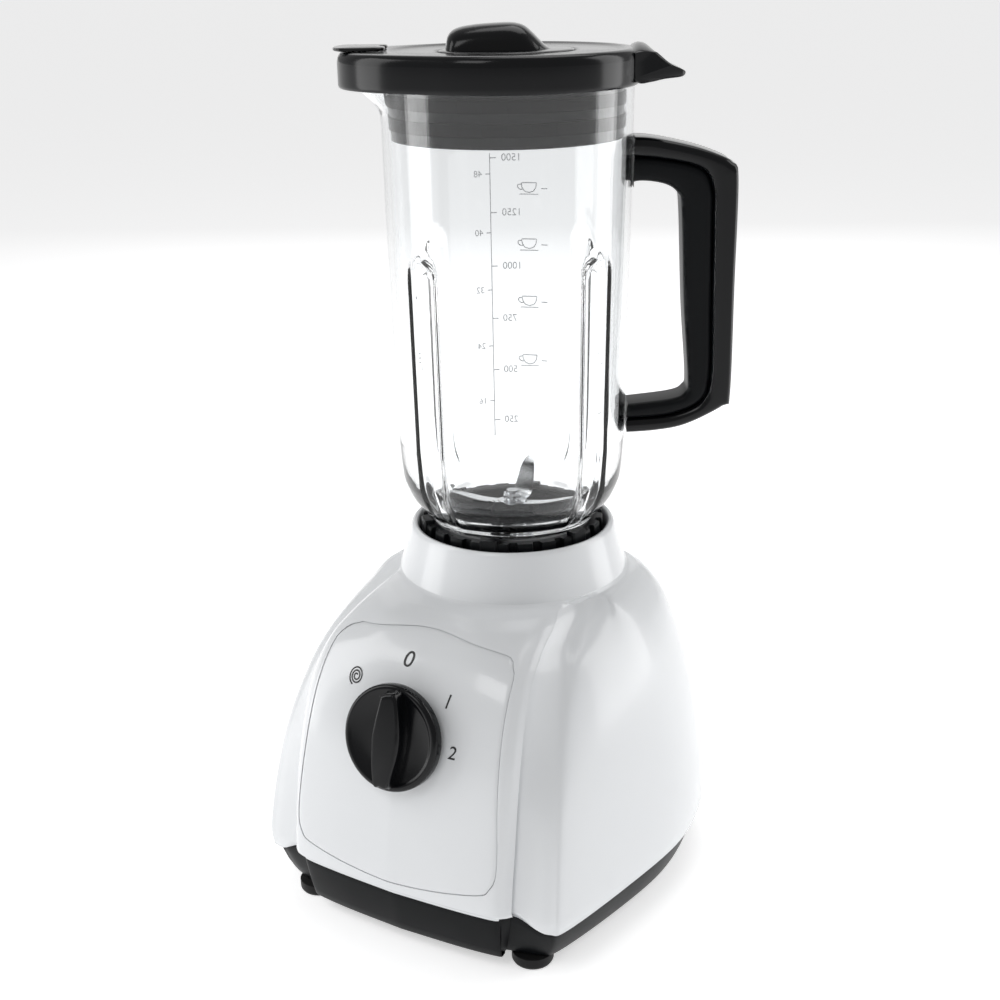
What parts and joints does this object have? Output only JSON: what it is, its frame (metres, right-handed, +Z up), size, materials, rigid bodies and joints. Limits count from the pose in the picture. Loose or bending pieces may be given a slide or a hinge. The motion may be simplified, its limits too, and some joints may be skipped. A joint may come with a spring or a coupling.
{
  "type": "countertop blender",
  "caption": "Countertop blender with a white tapering motor base, black rotary switch, clear ribbed jug with a black D handle and a black lid with a lift-out filler cap.",
  "frame": {"origin": "on the worktop plane under the jug and motor axis", "axes": "+Z up along the motor axis, -Y towards the control panel, +X to the right seen from the front"},
  "size_m": [0.1984, 0.2264, 0.4193],
  "materials": {
    "white_plastic": "gloss white moulded housing",
    "panel_plastic": "gloss white panel, a shade darker",
    "black_plastic": "fine satin black",
    "gloss_black": "polished black",
    "clear_plastic": "clear, polished",
    "rubber_black": "matt moulded rubber",
    "seal_grey": "translucent grey silicone",
    "steel": "turned and pressed steel",
    "blade_steel": "ground stainless",
    "iron": "stacked laminations",
    "copper": "enamelled copper wire and commutator bars",
    "brass": "sintered bush and brush holders",
    "carbon": "carbon brush",
    "nylon": "natural nylon"
  },
  "bodies": {
    "base": {"motor_housing": "white_plastic", "control_panel": "panel_plastic", "base_tray": "black_plastic", "interlock_switch": "black_plastic", "foot_1": "rubber_black", "foot_2": "rubber_black", "foot_3": "rubber_black", "foot_4": "rubber_black", "cord_gland": "rubber_black", "motor_mount_1": "rubber_black", "motor_mount_2": "rubber_black", "motor_mount_3": "rubber_black", "motor_mount_4": "rubber_black", "base_screw_1": "steel", "base_screw_2": "steel", "base_screw_3": "steel", "base_screw_4": "steel", "bearing_bottom": "steel", "bearing_top": "steel", "motor_bracket_top": "steel", "motor_bracket_bottom": "steel", "rotary_switch": "nylon", "stator_core": "iron", "field_coil_front": "copper", "field_coil_back": "copper", "brush_left": "carbon", "brush_right": "carbon", "brush_holder_left": "brass", "brush_holder_right": "brass"},
    "knob": {"knob": "gloss_black", "knob_shaft": "steel"},
    "rotor": {"motor_shaft": "steel", "armature_core": "iron", "armature_winding_top": "copper", "armature_winding_bottom": "copper", "commutator": "copper", "motor_fan": "nylon", "drive_coupling": "black_plastic"},
    "interlock": {"interlock_pin": "nylon"},
    "jug": {"jug_body": "clear_plastic", "handle_core": "gloss_black", "handle_cover": "gloss_black", "jug_base_ring": "black_plastic", "blade_carrier": "black_plastic", "jug_seal": "seal_grey", "blade_bush": "brass"},
    "blades": {"blade_shaft": "steel", "blade_lower": "blade_steel", "blade_upper": "blade_steel", "blade_nut": "steel", "driven_coupling": "black_plastic"},
    "lid": {"lid_body": "gloss_black", "lid_seal_lower": "rubber_black", "lid_seal_upper": "rubber_black", "spout_flap": "gloss_black"},
    "cap": {"filler_cap": "gloss_black", "cap_seal": "rubber_black"}
  },
  "joints": [
    {"name": "knob_turn", "type": "hinge", "parent": "base", "child": "knob", "pos_m": [0, -0.1106, 0.11], "axis": [0, 0.9681, -0.2504], "range_deg": [-40, 95]},
    {"name": "rotor_spin", "type": "hinge", "parent": "base", "child": "rotor", "pos_m": [0, 0, 0.09], "axis": [0, 0, 1], "continuous": true},
    {"name": "jug_lift", "type": "slide", "parent": "base", "child": "jug", "axis": [0, 0, 1], "range_m": [0, 0.06]},
    {"name": "interlock_rise", "type": "slide", "parent": "base", "child": "interlock", "axis": [0, 0, 1], "range_m": [0, 0.003]},
    {"name": "blade_spin", "type": "hinge", "parent": "jug", "child": "blades", "pos_m": [0, 0, 0.17], "axis": [0, 0, 1], "continuous": true},
    {"name": "lid_lift", "type": "slide", "parent": "jug", "child": "lid", "axis": [0, 0, 1], "range_m": [0, 0.05]},
    {"name": "cap_lift", "type": "slide", "parent": "lid", "child": "cap", "axis": [0, 0, 1], "range_m": [0, 0.035]}
  ],
  "couplings": [
    {"joint": "blade_spin", "follows": "rotor_spin", "ratio": 1},
    {"joint": "interlock_rise", "follows": "jug_lift", "ratio": 0.05}
  ]
}
